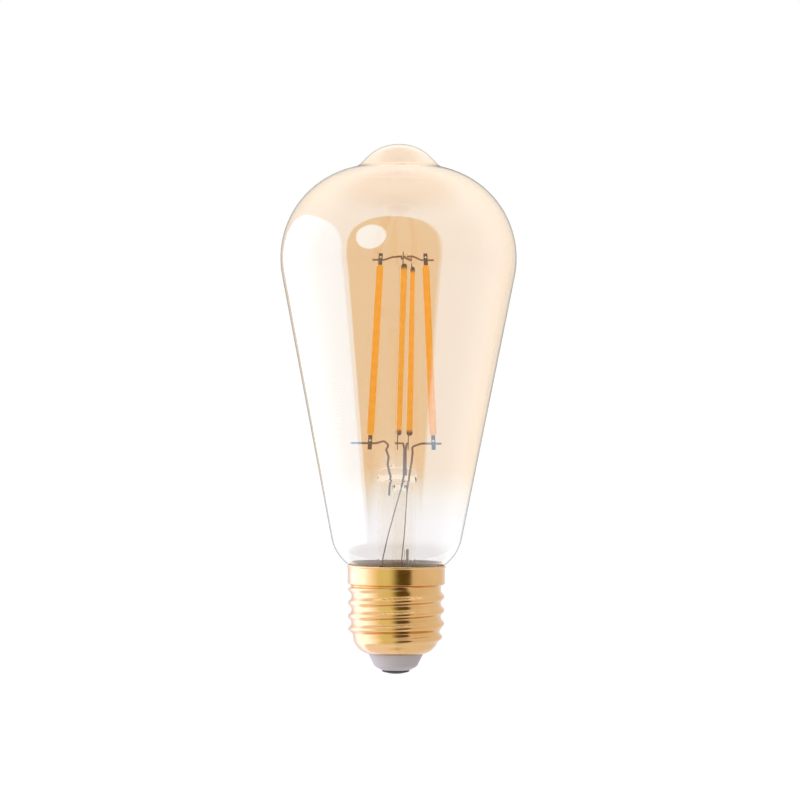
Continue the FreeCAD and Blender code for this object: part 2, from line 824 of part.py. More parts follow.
# ---------------------------------------------------------------- electronics in the cap

def component_pins():
    """Places where through-hole pins cross the driver board."""
    can = [(f"can_x {sign} can_pin_gap", "can_y") for sign in "+-"]
    drum = [(f"drum_x {sign} 1.2", "drum_y + 2.2") for sign in "+-"]
    film = [(f"film_x {sign} film_pin_gap", "film_y") for sign in "+-"]
    return {"can": can, "drum": drum, "film": film, "fuse": [("0", "0")]}


def pins(name, places, bottom):
    """Straight pins from a component up through the board."""
    height = f"board_z + board_thickness - ({bottom})"
    return [cylinder(f"{name} pin {i}", "pin_radius", height, x, y, bottom)
            for i, (x, y) in enumerate(places)]


def hanging_parts():
    """Capacitors, choke and fusible resistor under the driver board."""
    places = component_pins()
    can = lathe("can body", [
        ("0", "0", None),
        ("can_radius", "0", "can_groove"),
        ("can_radius", "can_height - 2", None),
        ("can_radius - can_groove", "can_height - 1.6", None),
        ("can_radius", "can_height - 1.2", None),
        ("can_radius", "can_height", "can_groove"),
        ("0", "can_height", None),
    ])
    shift(can, "can_x", "can_y", "board_z - can_height - 0.1")
    drum = lathe("drum body", [
        ("0", "0", None),
        ("drum_radius", "0", None),
        ("drum_radius", "drum_flange", None),
        ("drum_neck", "drum_flange", None),
        ("drum_neck", "drum_height - drum_flange", None),
        ("drum_radius", "drum_height - drum_flange", None),
        ("drum_radius", "drum_height", None),
        ("0", "drum_height", None),
    ])
    shift(drum, "drum_x", "drum_y", "board_z - drum_height - 0.1")
    coil = lathe("inductor_winding", [
        ("drum_neck", "drum_flange", None),
        ("coil_radius", "drum_flange", "can_groove"),
        ("coil_radius", "drum_height - drum_flange", "can_groove"),
        ("drum_neck", "drum_height - drum_flange", None),
    ])
    shift(coil, "drum_x", "drum_y", "board_z - drum_height - 0.1")
    film = block("film body", "film_length", "film_width", "film_height",
                 "film_x", "film_y", "board_z - film_height - 0.2")
    film_case = round_edges("film case", film, "coat_fillet", runs_along_z)
    fuse_body = cylinder("fuse body", "fuse_radius", "fuse_top - fuse_bottom", z="fuse_bottom")
    sleeve = lathe("resistor_sleeve", [
        ("fuse_radius", "sleeve_bottom", None),
        ("fuse_radius + sleeve_wall", "sleeve_bottom", None),
        ("fuse_radius + sleeve_wall", "sleeve_top", None),
        ("fuse_radius", "sleeve_top", None),
    ])
    live = cylinder("live_wire", "live_wire_radius", "fuse_bottom - shank_top", z="shank_top")
    return [
        fuse("electrolytic_capacitor", [can, *pins("can", places["can"], "board_z - 0.1")]),
        fuse("inductor_core", [drum, *pins("drum", places["drum"], "board_z - 0.1")]),
        coil,
        fuse("film_capacitor", [film_case, *pins("film", places["film"], "board_z - 0.2")]),
        fuse("fusible_resistor", [fuse_body, *pins("fuse", places["fuse"], "fuse_top")]),
        sleeve,
        live,
    ]


def driver_board():
    """Round board with a hole for every pin."""
    disc = cylinder("board disc", "board_radius", "board_thickness", z="board_z")
    drills = []
    for name, places in component_pins().items():
        for i, (x, y) in enumerate(places):
            drills.append(cylinder(f"{name} drill {i}", "pin_radius", "board_thickness + 2",
                                   x, y, "board_z - 1"))
    return cut("driver_board", disc, drills)


def legged_chip(label, length, width, height, x, y, legs):
    """A moulded package with a row of flat legs along its front and back."""
    floor = "board_z + board_thickness"
    case = block(f"{label} case", length, width, f"{height} - leg_thickness", x, y,
                 f"{floor} + leg_thickness")
    pieces = [case]
    for side in "+-":
        for i in range(legs):
            pieces.append(block(
                f"{label} leg {side}{i}", "leg_width", "leg_reach", "2 * leg_thickness",
                f"{x} + ({i} - ({legs} - 1) / 2) * leg_pitch",
                f"{y} {side} ({width} + leg_reach) / 2", floor))
    return fuse(label, pieces)


def radio_parts():
    """Upright radio board, its shielded chip and the antenna wire up the stem."""
    floor = "board_z + board_thickness"
    board = block("radio_board", "radio_width", "radio_thickness", "radio_height",
                  "0", "radio_y + radio_thickness / 2", floor)
    chip = block("radio_chip", "radio_chip_size", "radio_chip_depth", "radio_chip_size",
                 "0", "radio_y + radio_thickness + radio_chip_depth / 2", f"{floor} + 0.6")
    antenna = wire("antenna", [
        (2.4, "radio_y - antenna_radius", 21.6), (2.4, "radio_y - antenna_radius", 23.4),
        (3.0, 2.2, 26.6), (3.0, 2.2, 33.4)], "antenna_radius")
    return [board, chip, antenna]


def small_chips():
    floor = "board_z + board_thickness"
    resistors = [block(f"resistor {i}", "resistor_length", "resistor_width", "resistor_height",
                       str(x), str(y), floor) for i, (x, y) in enumerate(RESISTOR_SPOTS)]
    ceramics = [block(f"ceramic {i}", "ceramic_length", "ceramic_width", "ceramic_height",
                      str(x), str(y), floor) for i, (x, y) in enumerate(CERAMIC_SPOTS)]
    return [group("chip_resistors", resistors), group("chip_capacitors", ceramics)]


def around(radius, height):
    """A place at the neutral wire's azimuth."""
    azimuth = math.radians(number("neutral_azimuth"))
    reach = number(radius)
    return (reach * math.cos(azimuth), reach * math.sin(azimuth), height)


def neutral_wire():
    """From the board over the liner and out to the shell, below the cement."""
    over = "liner_top + 0.25"
    out = "thread_root - shell_wall - neutral_wire_radius"
    return wire("neutral_wire", [
        around("neutral_solder_r", "board_z + board_thickness + solder_height"),
        around("neutral_solder_r", over), around(out, over), around(out, "cement_bottom - 0.1"),
    ], "neutral_wire_radius", "neutral_wire_radius + 0.1")


def solder_joints():
    """One small cone where each pin or wire meets the board's upper face."""
    places = [place for group_places in component_pins().values() for place in group_places]
    places += [(str(x), str(y)) for x, y in (RIGHT_SOLDER, FRONT_SOLDER)]
    places.append(tuple(f"{value:.4f}" for value in around("neutral_solder_r", 0)[:2]))
    cones = []
    for i, (x, y) in enumerate(places):
        cone = named(doc.addObject("Part::Cone", "Cone"), f"solder {i}")
        drive(cone, Radius1="solder_radius", Radius2="solder_tip", Height="solder_height")
        shift(cone, x, y, "board_z + board_thickness")
        cones.append(cone)
    return group("solder_joints", cones)


# ---------------------------------------------------------------- assembly

def build():
    """Make every piece of the lamp and return those that are written out."""
    inside = inner_wires()
    rod = rod_solid()
    rising = [inside[name] for name in ("inner_lead_right", "inner_lead_front",
                                        "lower_support_left", "lower_support_back")]
    in_bead = [piece for name, piece in inside.items() if name.startswith("upper")]
    nodes = [
        glass_envelope(),
        stem_tube(),
        cut("stem_press", press_solid(), [rod, *rising]),
        exhaust_tube(),
        cut("stem_rod", rod, in_bead),
        *inside.values(),
        *outer_leads().values(),
        *all_filaments(),
        screw_shell(),
        cap_insulator(),
        contact_pin(),
        base_cement(),
        insulating_liner(),
        driver_board(),
        *hanging_parts(),
        legged_chip("bridge_rectifier", "bridge_length", "bridge_width", "bridge_height",
                    "bridge_x", "bridge_y", 2),
        legged_chip("driver_ic", "driver_length", "driver_width", "driver_height",
                    "driver_x", "driver_y", 4),
        *radio_parts(),
        *small_chips(),
        neutral_wire(),
        solder_joints(),
    ]
    return nodes


def write_out(nodes):
    """Check every object and shape, then write one STEP file for each piece."""
    doc.recompute()
    for thing in doc.Objects:
        if any(state in ("Invalid", "Error") for state in thing.State):
            raise RuntimeError(f"{thing.Label}: {thing.State}")
        if thing.isDerivedFrom("Sketcher::SketchObject") and not thing.FullyConstrained:
            raise RuntimeError(f"{thing.Label} is not fully constrained")
    for node in nodes:
        shape = node.Shape
        if shape.isNull() or not shape.isValid() or not shape.Solids:
            raise RuntimeError(f"{node.Label} has no valid solid")
        shape.exportStep(f"{OUT}/{node.Label}.step")
        print(f"{node.Label}: {len(shape.Solids)} solid(s), {shape.Volume:.1f} mm3")


fill_sheet()
write_out(build())
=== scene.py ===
import json
import math

import bpy
from mathutils import Matrix, Vector, noise


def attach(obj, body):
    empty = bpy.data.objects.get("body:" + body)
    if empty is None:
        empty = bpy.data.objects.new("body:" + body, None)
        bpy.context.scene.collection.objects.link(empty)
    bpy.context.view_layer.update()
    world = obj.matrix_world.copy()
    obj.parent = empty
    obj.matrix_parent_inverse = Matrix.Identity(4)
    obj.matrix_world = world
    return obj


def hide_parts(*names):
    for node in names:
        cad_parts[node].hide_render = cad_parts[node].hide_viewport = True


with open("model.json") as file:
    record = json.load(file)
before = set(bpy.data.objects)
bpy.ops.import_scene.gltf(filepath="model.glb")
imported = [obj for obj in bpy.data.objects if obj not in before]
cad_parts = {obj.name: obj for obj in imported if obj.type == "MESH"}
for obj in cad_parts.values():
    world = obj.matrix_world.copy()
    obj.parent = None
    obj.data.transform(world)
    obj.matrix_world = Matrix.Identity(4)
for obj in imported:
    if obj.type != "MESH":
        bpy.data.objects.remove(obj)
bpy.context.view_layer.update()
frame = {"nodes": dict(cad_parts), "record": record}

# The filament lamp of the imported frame, in metres, standing on +Z. Turned pieces are given as
# (radius, height, rounding) corners in millimetres. The glass has the CAD model's sizes. The
# cap's thread and lip stand about 0.4 mm higher than there, and its thread is a rolled wave.

MM = 0.001
nodes = frame["nodes"]
scene = bpy.context.scene

GLASS_WALL = 0.8
ENVELOPE = [(11.2, 21.5, 0), (11.2, 28.0, 1.5), (16.74, 31.88, 12.0), (36.03, 130.58, 25.1),
            (11.3, 137.3, 4.0), (5.2, 143.4, 11.0), (0, 143.4, 0)]
STEM_WALL = 0.9
STEM = [(10.4, 22.4, 0), (5.2, 22.4, 5.0), (5.2, 51.0, 0)]
EXHAUST_WALL = 0.45
EXHAUST = [(1.45, 51.0, 0), (1.45, 20.5, 1.2), (0, 20.5, 0)]
EXHAUST_X = 0.7
ROD_FOOT = Vector((0.5, 0, 54.6))
ROD_LEAN = math.radians(1.05)

# The thread is a rounded wave, and its crest in the direction of +X is at CREST_Z.
THREAD_PITCH = 3.629
THREAD_ROOT = 12.1
THREAD_DEPTH = 0.95
CREST_Z = 9.97
SKIRT_RADIUS = 13.15
CAP_FOOT = 5.42
CAP_TOP = 29.0
CAP_WALL = 0.3

# Half the wide and the thin side of a filament's coat.
COAT_HALF_WIDE = 0.94
COAT_HALF_THIN = 0.64

# Middle of the lamp, and distance of the light round it, both in metres.
LAMP_MIDDLE = Vector((0, 0, 0.075))
DOME_RADIUS = 1.2


# ---------------------------------------------------------------- meshes

def smoothstep(low, high, value):
    """0 at low and 1 at high, which may be the smaller of the two."""
    t = min(1.0, max(0.0, (value - low) / (high - low)))
    return t * t * (3 - 2 * t)


def make_piece(name, verts, faces, material, stands_for, place=Matrix()):
    """A mesh object in the row frame that rides on the lamp and replaces its CAD nodes."""
    mesh = bpy.data.meshes.new(name)
    mesh.from_pydata([tuple((place @ Vector(v)) * MM) for v in verts], [], faces)
    mesh.update()
    for polygon in mesh.polygons:
        polygon.use_smooth = True
    mesh.materials.append(material)
    piece = bpy.data.objects.new(name, mesh)
    scene.collection.objects.link(piece)
    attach(piece, "root")
    if stands_for:
        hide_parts(*stands_for)
    return piece


def rounded(corners, step=2.5, turn=4.0):
    """Points along the rounded outline, each with its outward normal."""
    points = [Vector((r, z)) for r, z, _ in corners]
    ends = []
    for i, corner in enumerate(corners):
        if not corner[2]:
            ends.append((points[i], points[i], None))
            continue
        back = (points[i - 1] - points[i]).normalized()
        ahead = (points[(i + 1) % len(points)] - points[i]).normalized()
        half = back.angle(ahead) / 2
        reach = corner[2] / math.tan(half)
        centre = points[i] + (back + ahead).normalized() * (corner[2] / math.sin(half))
        ends.append((points[i] + back * reach, points[i] + ahead * reach, centre))
    out = []
    for i in range(len(corners)):
        start, end, centre = ends[i]
        if centre is not None:
            a, b = (start - centre), (end - centre)
            sweep = a.angle_signed(b)
            left = a.x * b.y - a.y * b.x > 0
            count = max(2, round(abs(math.degrees(sweep)) / turn))
            for k in range(count + 1):
                angle = abs(sweep) * k / count * (1 if left else -1)
                spoke = Matrix.Rotation(angle, 2) @ a
                normal = spoke.normalized() * (1 if left else -1)
                out.append((centre + spoke, normal))
        if i + 1 < len(corners):
            begin, stop = end, ends[i + 1][0]
            along = (stop - begin)
            if along.length < 1e-6:
                continue
            normal = Vector((along.y, -along.x)).normalized()
            count = max(1, math.ceil(along.length / step))
            first = 0 if centre is None else 1
            last = count if ends[i + 1][2] is not None else count + 1
            out += [(begin + along * (k / count), normal) for k in range(first, last)]
    return out


def ring_faces(rings, around):
    """Four-sided faces between rings of points that follow one another."""
    faces = []
    for j in range(rings - 1):
        for i in range(around):
            k = (i + 1) % around
            faces.append([j * around + i, j * around + k, (j + 1) * around + k,
                          (j + 1) * around + i])
    return faces


def turned(name, outline, material, stands_for, steps=160, wobble=None, place=Matrix()):
    """Turn a closed outline of (radius, height) around the axis; wobble shifts a point."""
    verts, rings = [], []
    for j, (r, z) in enumerate(outline):
        if r < 1e-4:
            rings.append([len(verts)] * steps)
            verts.append((0, 0, z))
            continue
        ring = []
        for i in range(steps):
            azimuth = 2 * math.pi * i / steps
            radius, height = wobble(azimuth, r, z) if wobble else (r, z)
            ring.append(len(verts))
            verts.append((radius * math.cos(azimuth), radius * math.sin(azimuth), height))
        rings.append(ring)
    faces = []
    for lower, upper in zip(rings, rings[1:] + rings[:1]):
        for i in range(steps):
            k = (i + 1) % steps
            face = []
            for v in (lower[i], lower[k], upper[k], upper[i]):
                if v not in face:
                    face.append(v)
            if len(face) > 2:
                faces.append(face)
    return make_piece(name, verts, faces, material, stands_for, place)


def walled(corners, wall):
    """Closed outline of a turned wall: up the outside and back down the inside."""
    outside = rounded(corners)
    inside = [point - normal * wall for point, normal in reversed(outside)]
    return [(max(p.x, 0), p.y) for p in [point for point, _ in outside] + inside]


# ---------------------------------------------------------------- materials

def new_material(name):
    material = bpy.data.materials.new(name)
    material.use_nodes = True
    tree = material.node_tree
    return material, tree, tree.nodes["Principled BSDF"]


def add(tree, kind, **values):
    """A node with some of its sockets or properties set."""
    node = tree.nodes.new(kind)
    for key, value in values.items():
        if key in node.inputs:
            node.inputs[key].default_value = value
        else:
            setattr(node, key, value)
    return node


def object_place(tree, stretch=(1, 1, 1)):
    """Object coordinates in metres, scaled unevenly when a texture runs one way."""
    coordinates = add(tree, "ShaderNodeTexCoord")
    mapping = add(tree, "ShaderNodeMapping")
    mapping.inputs["Scale"].default_value = stretch
    tree.links.new(coordinates.outputs["Object"], mapping.inputs["Vector"])
    return mapping.outputs["Vector"]


def grain(tree, vector, scale, detail=4.0, roughness=0.55):
    texture = add(tree, "ShaderNodeTexNoise", Scale=scale, Detail=detail, Roughness=roughness)
    tree.links.new(vector, texture.inputs["Vector"])
    return texture.outputs["Fac"]


def find_input(node, name, kind):
    """The socket of that name and kind, on a node that has one for each kind of data."""
    return next(s for s in node.inputs if s.name == name and s.type == kind)


def find_output(node, kind):
    return next(s for s in node.outputs if s.type == kind)


def ramp(tree, factor, stops):
    node = add(tree, "ShaderNodeValToRGB")
    elements = node.color_ramp.elements
    while len(elements) < len(stops):
        elements.new(0.5)
    for element, (position, colour) in zip(elements, stops):
        element.position = position
        element.color = (*colour, 1)
    tree.links.new(factor, node.inputs["Fac"])
    return node.outputs["Color"]


def spread(tree, factor, low, high, start=0.3, end=0.7):
    node = add(tree, "ShaderNodeMapRange")
    for key, value in zip(("From Min", "From Max", "To Min", "To Max"), (start, end, low, high)):
        node.inputs[key].default_value = value
    tree.links.new(factor, node.inputs["Value"])
    return node.outputs["Result"]


def bump(tree, shader, height, strength, distance):
    node = add(tree, "ShaderNodeBump", Strength=strength, Distance=distance)
    tree.links.new(height, node.inputs["Height"])
    tree.links.new(node.outputs["Normal"], shader.inputs["Normal"])


def surface(name, dark, light, roughness, metallic=0.0, scale=900, stretch=(1, 1, 1),
            relief=0.15, depth=0.00003, gloss=0.5):
    """A finish with mottled colour, uneven gloss and a fine relief."""
    material, tree, shader = new_material(name)
    place = object_place(tree, stretch)
    fine = grain(tree, place, scale)
    coarse = grain(tree, place, scale / 7, 2.0)
    tree.links.new(ramp(tree, coarse, [(0.3, dark), (0.7, light)]), shader.inputs["Base Color"])
    tree.links.new(spread(tree, fine, roughness * 0.8, roughness * 1.25),
                   shader.inputs["Roughness"])
    shader.inputs["Metallic"].default_value = metallic
    shader.inputs["Specular IOR Level"].default_value = gloss
    bump(tree, shader, fine, relief, depth)
    return material


def envelope_glass():
    """Blown glass with an amber film that thins out to clear above the cap."""
    material, tree, shader = new_material("amber_glass")
    place = object_place(tree)
    split = add(tree, "ShaderNodeSeparateXYZ")
    tree.links.new(place, split.inputs["Vector"])
    cloud = grain(tree, place, 45, 2.0)
    height = add(tree, "ShaderNodeMath", operation="MULTIPLY_ADD")
    height.inputs[1].default_value = 0.004
    tree.links.new(cloud, height.inputs[0])
    tree.links.new(split.outputs["Z"], height.inputs[2])
    film = spread(tree, height.outputs["Value"], 0, 1, 0.043, 0.057)
    tint = ramp(tree, film, [(0.0, (0.90, 0.885, 0.89)), (0.45, (0.905, 0.85, 0.79)),
                             (1.0, (0.915, 0.76, 0.575))])
    sheen = ramp(tree, film, [(0.0, (0.55, 0.55, 0.58)), (1.0, (0.28, 0.68, 1.0))])
    tree.links.new(sheen, shader.inputs["Specular Tint"])
    tree.links.new(tint, shader.inputs["Base Color"])
    tree.links.new(spread(tree, grain(tree, place, 160), 0.0, 0.012, 0.35, 0.75),
                   shader.inputs["Roughness"])
    shader.inputs["Transmission Weight"].default_value = 1.0
    shader.inputs["IOR"].default_value = 1.8
    bump(tree, shader, grain(tree, place, 38, 1.0), 0.015, 0.0006)
    return material


def clear_glass():
    """Drawn glass with faint lengthwise ripple and a low index, so that it stays quiet."""
    material, tree, shader = new_material("clear_glass")
    place = object_place(tree, (1, 1, 0.15))
    soft = grain(tree, place, 160, 2.0)
    tint = (0.985, 0.965, 0.93)
    shade = tuple(c * 0.985 for c in tint)
    tree.links.new(ramp(tree, soft, [(0.3, shade), (0.7, tint)]), shader.inputs["Base Color"])
    tree.links.new(spread(tree, soft, 0.0, 0.02), shader.inputs["Roughness"])
    shader.inputs["Transmission Weight"].default_value = 1.0
    shader.inputs["IOR"].default_value = 1.1
    bump(tree, shader, soft, 0.05, 0.0002)
    return material


def brass():
    """Polished rolled brass: warm and bright, with faint rolling lines round the cap."""
    material, tree, shader = new_material("cap_brass")
    place = object_place(tree, (1, 1, 9))
    lines = grain(tree, place, 420, 3.0)
    cloud = grain(tree, object_place(tree), 120, 3.0)
    tree.links.new(ramp(tree, cloud, [(0.3, (0.72, 0.44, 0.16)), (0.7, (0.80, 0.51, 0.21))]),
                   shader.inputs["Base Color"])
    tree.links.new(spread(tree, lines, 0.13, 0.24), shader.inputs["Roughness"])
    shader.inputs["Metallic"].default_value = 1.0
    bump(tree, shader, lines, 0.012, 0.00003)
    return material


def phosphor():
    """Orange-yellow silicone that shows the row of chips under it as faint lighter beads, with a
    painted orange glow that is weaker near its darkened ends.
    """
    material, tree, shader = new_material("phosphor_coat")
    place = object_place(tree)
    fine = grain(tree, place, 2600)
    beads = add(tree, "ShaderNodeTexWave", wave_type="BANDS", bands_direction="Z",
                Scale=102.0, Distortion=0.6, Detail=1.0)
    tree.links.new(place, beads.inputs["Vector"])
    mixed = add(tree, "ShaderNodeMath", operation="MULTIPLY_ADD")
    mixed.inputs[1].default_value = 0.35
    tree.links.new(beads.outputs["Fac"], mixed.inputs[0])
    tree.links.new(fine, mixed.inputs[2])
    yellow = ramp(tree, mixed.outputs["Value"], [(0.3, (0.98, 0.50, 0.005)),
                                                 (0.95, (1.0, 0.62, 0.02))])
    tail = add(tree, "ShaderNodeAttribute", attribute_name="tail")
    darker = add(tree, "ShaderNodeMix", data_type="RGBA", blend_type="MIX")
    tree.links.new(tail.outputs["Fac"], darker.inputs["Factor"])
    tree.links.new(yellow, find_input(darker, "A", "RGBA"))
    find_input(darker, "B", "RGBA").default_value = (0.22, 0.10, 0.02, 1)
    tree.links.new(find_output(darker, "RGBA"), shader.inputs["Base Color"])
    # Painted glow: the coat emits orange light, strong along it and weak at its darkened ends, so
    # that it looks lit though the lamp is off.
    glow = spread(tree, tail.outputs["Fac"], 0.45, 0.06, 0, 1)
    tree.links.new(glow, shader.inputs["Emission Strength"])
    tree.links.new(spread(tree, fine, 0.35, 0.55), shader.inputs["Roughness"])
    shader.inputs["Specular IOR Level"].default_value = 0.2
    # Colour of the painted glow.
    shader.inputs["Emission Color"].default_value = (1.0, 0.5, 0.0, 1)
    shader.inputs["Subsurface Weight"].default_value = 0.3
    shader.inputs["Subsurface Radius"].default_value = (0.6, 0.3, 0.08)
    shader.inputs["Subsurface Scale"].default_value = 0.001
    bump(tree, shader, fine, 0.2, 0.00005)
    return material


FINISH = {
    "amber_glass": envelope_glass(),
    "clear_glass": clear_glass(),
    "nickel_wire": surface("nickel_wire", (0.32, 0.19, 0.10), (0.48, 0.32, 0.20), 0.38, 0.9,
                           stretch=(1, 1, 0.2)),
    "copper_wire": surface("copper_wire", (0.17, 0.11, 0.09), (0.29, 0.19, 0.16), 0.42, 0.9),
    "tab_metal": surface("tab_metal", (0.16, 0.11, 0.08), (0.27, 0.21, 0.16), 0.36, 0.9,
                         scale=1600),
    "strip_carrier": surface("strip_carrier", (0.78, 0.76, 0.70), (0.88, 0.86, 0.80), 0.5),
    "led_die": surface("led_die", (0.35, 0.42, 0.6), (0.5, 0.6, 0.8), 0.2, scale=3000),
    "phosphor_coat": phosphor(),
    "cap_brass": brass(),
    "insulator_plastic": surface("insulator_plastic", (0.28, 0.25, 0.25), (0.32, 0.285, 0.285),
                                 0.32, scale=500, relief=0.08, gloss=0.08),
    # Painted shade: the contact's metal is given a near-black colour that stands in for the shade
    # beneath the lamp.
    "contact_metal": surface("contact_metal", (0.03, 0.025, 0.026), (0.07, 0.06, 0.062), 0.6, 0.35,
                             scale=1200, gloss=0.12),
    "cement": surface("cement", (1.0, 0.64, 0.36), (1.0, 0.84, 0.56), 0.6, scale=1500,
                      relief=0.6, depth=0.00015),
    "liner_film": surface("liner_film", (0.78, 0.75, 0.68), (0.86, 0.83, 0.76), 0.45),
    "circuit_board": surface("circuit_board", (0.015, 0.10, 0.04), (0.03, 0.16, 0.07), 0.35,
                             scale=1400, stretch=(1, 6, 1)),
    "can_sleeve": surface("can_sleeve", (0.015, 0.015, 0.02), (0.04, 0.04, 0.05), 0.3),
    "ferrite": surface("ferrite", (0.05, 0.05, 0.055), (0.10, 0.10, 0.105), 0.75, scale=2200),
    "enamelled_copper": surface("enamelled_copper", (0.42, 0.14, 0.05), (0.62, 0.26, 0.10),
                                0.28, 0.8, scale=700, stretch=(1, 1, 14), relief=0.5),
    "film_case": surface("film_case", (0.45, 0.08, 0.03), (0.58, 0.13, 0.05), 0.3),
    "moulded_black": surface("moulded_black", (0.015, 0.015, 0.016), (0.035, 0.035, 0.037), 0.6,
                             scale=2500),
    "resistor_body": surface("resistor_body", (0.16, 0.27, 0.22), (0.24, 0.36, 0.30), 0.4),
    "white_sleeve": surface("white_sleeve", (0.70, 0.67, 0.60), (0.80, 0.78, 0.71), 0.6,
                            scale=1800, stretch=(1, 1, 5), relief=0.4),
    "shield_can": surface("shield_can", (0.48, 0.48, 0.50), (0.62, 0.62, 0.64), 0.3, 1.0),
    "white_insulation": surface("white_insulation", (0.93, 0.90, 0.88), (1.0, 0.98, 0.96), 0.3),
    "ceramic_chip": surface("ceramic_chip", (0.38, 0.26, 0.15), (0.48, 0.35, 0.22), 0.4),
    "solder": surface("solder", (0.45, 0.45, 0.47), (0.62, 0.62, 0.64), 0.25, 1.0),
}


# ---------------------------------------------------------------- glass

def build_glass():
    """Envelope, exhaust tube and stem; the envelope is given back for its own light."""
    envelope = turned("envelope", walled(ENVELOPE, GLASS_WALL), FINISH["amber_glass"],
                      ["glass_envelope"], steps=192)
    turned("exhaust_glass", walled(EXHAUST, EXHAUST_WALL), FINISH["clear_glass"],
           ["exhaust_tube"], steps=48, place=Matrix.Translation((EXHAUST_X, 0, 0)))
    build_stem_solid()
    return envelope


def build_stem_solid():
    """Flared tube, its top squeezed flat around the wires, and the rod and bead above it."""
    # Each level of the press is (height, half its width, half its thickness).
    press = [(51.4, 5.2, 5.1), (52.1, 5.26, 4.4), (52.8, 5.28, 3.3),
             (53.4, 5.2, 2.5), (54.0, 5.1, 2.15), (54.8, 5.0, 2.0), (55.2, 4.8, 1.95),
             (55.5, 4.3, 1.8), (55.7, 3.4, 1.65), (55.9, 2.4, 1.5), (56.3, 1.7, 1.42)]
    rod = [(57.2, 1.38), (60, 1.35), (75, 1.35), (92, 1.33), (109.6, 1.35), (110.4, 1.5),
           (110.8, 1.9), (111.4, 2.15), (112.3, 2.2), (113.1, 2.1), (113.8, 1.7), (114.1, 1.0)]
    outside = rounded(STEM)
    inside = [point - normal * STEM_WALL for point, normal in outside]
    levels = [(52.2, 0.9, 0.6), (52.1, 2.2, 1.5), (51.7, 3.4, 2.6), (51.2, 4.1, 3.7)]
    levels += [(p.y, p.x, p.x) for p in reversed(inside[:-1])]
    lowest = len(levels)
    levels += [(p.y, p.x, p.x) for p, _ in outside[:-1]]
    levels += press + [(z, r, r) for z, r in rod]
    around, verts = 72, []
    for k, (z, wide, thick) in enumerate(levels):
        shift = smoothstep(55.2, 57, z) * (ROD_FOOT.x + (z - ROD_FOOT.z) * math.tan(ROD_LEAN))
        soft = smoothstep(50.9, 52.5, z) * smoothstep(58, 55.5, z) * (k > lowest)
        for i in range(around):
            a = 2 * math.pi * i / around
            lump = soft * noise.noise(Vector((math.cos(a) * 2.2, math.sin(a) * 2.2, z * 0.9)))
            verts.append((wide * math.cos(a) * (1 + 0.05 * lump) + shift,
                          thick * math.sin(a) * (1 + 0.05 * lump), z + 0.2 * lump))
    last = (len(levels) - 1) * around
    ends = [list(range(around))[::-1], [last + i for i in range(around)]]
    faces = ends[:1] + ring_faces(len(levels), around) + ends[1:]
    make_piece("stem_glass", verts, faces, FINISH["clear_glass"],
               ["stem_tube", "stem_press", "stem_rod"])


# ---------------------------------------------------------------- cap

def shell_radius(z):
    """Outer radius of the cap without its thread: rounded foot, wall, skirt and lip."""
    foot_reach, foot_radius, foot_height = 6.4, 5.2, 10.44
    if z < foot_height:
        return foot_reach + math.sqrt(max(0.0, foot_radius ** 2 - (foot_height - z) ** 2))
    foot = foot_reach + foot_radius
    radius = foot + (THREAD_ROOT - foot) * smoothstep(11.0, 12.2, z)
    radius += (SKIRT_RADIUS - THREAD_ROOT) * smoothstep(23.6, 24.4, z)
    return radius + 0.3 * smoothstep(28.5, 28.9, z)


def ridge(azimuth, z):
    """Height of the thread above the cap's wall."""
    lead = CREST_Z + THREAD_PITCH * azimuth / (2 * math.pi)
    turns = round((z - lead) / THREAD_PITCH)
    crest = lead + turns * THREAD_PITCH
    wave = 0.5 + 0.5 * math.cos(2 * math.pi * (z - crest) / THREAD_PITCH)
    fade = smoothstep(7.9, 9.6, crest) * (1 - smoothstep(22.8, 24.2, max(z, crest)))
    return THREAD_DEPTH * fade * wave ** 1.35


def build_cap():
    """Thin shell with the thread's wave on its outside, a rolled rim and an open foot."""
    rows = 260
    heights = [CAP_FOOT + (CAP_TOP - CAP_FOOT) * k / rows for k in range(rows + 1)]
    outside = [(shell_radius(z), z) for z in heights]
    lip = shell_radius(CAP_TOP)
    rim = [(lip - 0.08, CAP_TOP + 0.03), (lip - CAP_WALL + 0.06, CAP_TOP + 0.03)]
    inside = [(shell_radius(z) - CAP_WALL, z) for z in reversed(heights[::6])]
    mouth = [(shell_radius(CAP_FOOT) - 0.16, CAP_FOOT - 0.04)]
    outer = set(outside)

    def thread(azimuth, r, z):
        return (r + ridge(azimuth, z), z) if (r, z) in outer else (r, z)

    turned("threaded_cap", outside + rim + inside + mouth, FINISH["cap_brass"],
           ["screw_shell"], steps=168, wobble=thread)


def build_insulator():
    """Moulded collar with a hollow top and a bore for the contact's shank."""
    outline = rounded([(1.25, 0.9, 0), (3.75, 0.92, 0.3), (5.75, 2.0, 1.2), (7.4, 5.3, 0.5),
                       (7.4, 5.78, 0.15), (9.9, 7.15, 0.2), (9.9, 8.0, 0.2), (6.0, 8.0, 0.2),
                       (6.0, 3.2, 0.4), (2.6, 3.2, 0.4), (2.6, 8.0, 0.2), (1.25, 8.0, 0)],
                      step=0.6, turn=10)
    turned("insulator", [(p.x, p.y) for p, _ in outline], FINISH["insulator_plastic"],
           ["cap_insulator"], steps=128)


def build_contact():
    """Domed contact with a soft edge and a shallow ring pressed into it."""
    outline = rounded([(0, 0, 0), (1.5, 0.0, 2.0), (3.35, 0.42, 0.5), (3.7, 0.62, 0.12),
                       (3.7, 0.88, 0.06), (1.2, 0.9, 0), (1.2, 6.2, 0.2), (0, 6.2, 0)],
                      step=0.4, turn=10)
    turned("centre_contact", [(p.x, p.y) for p, _ in outline], FINISH["contact_metal"],
           ["contact_pin"], steps=96)


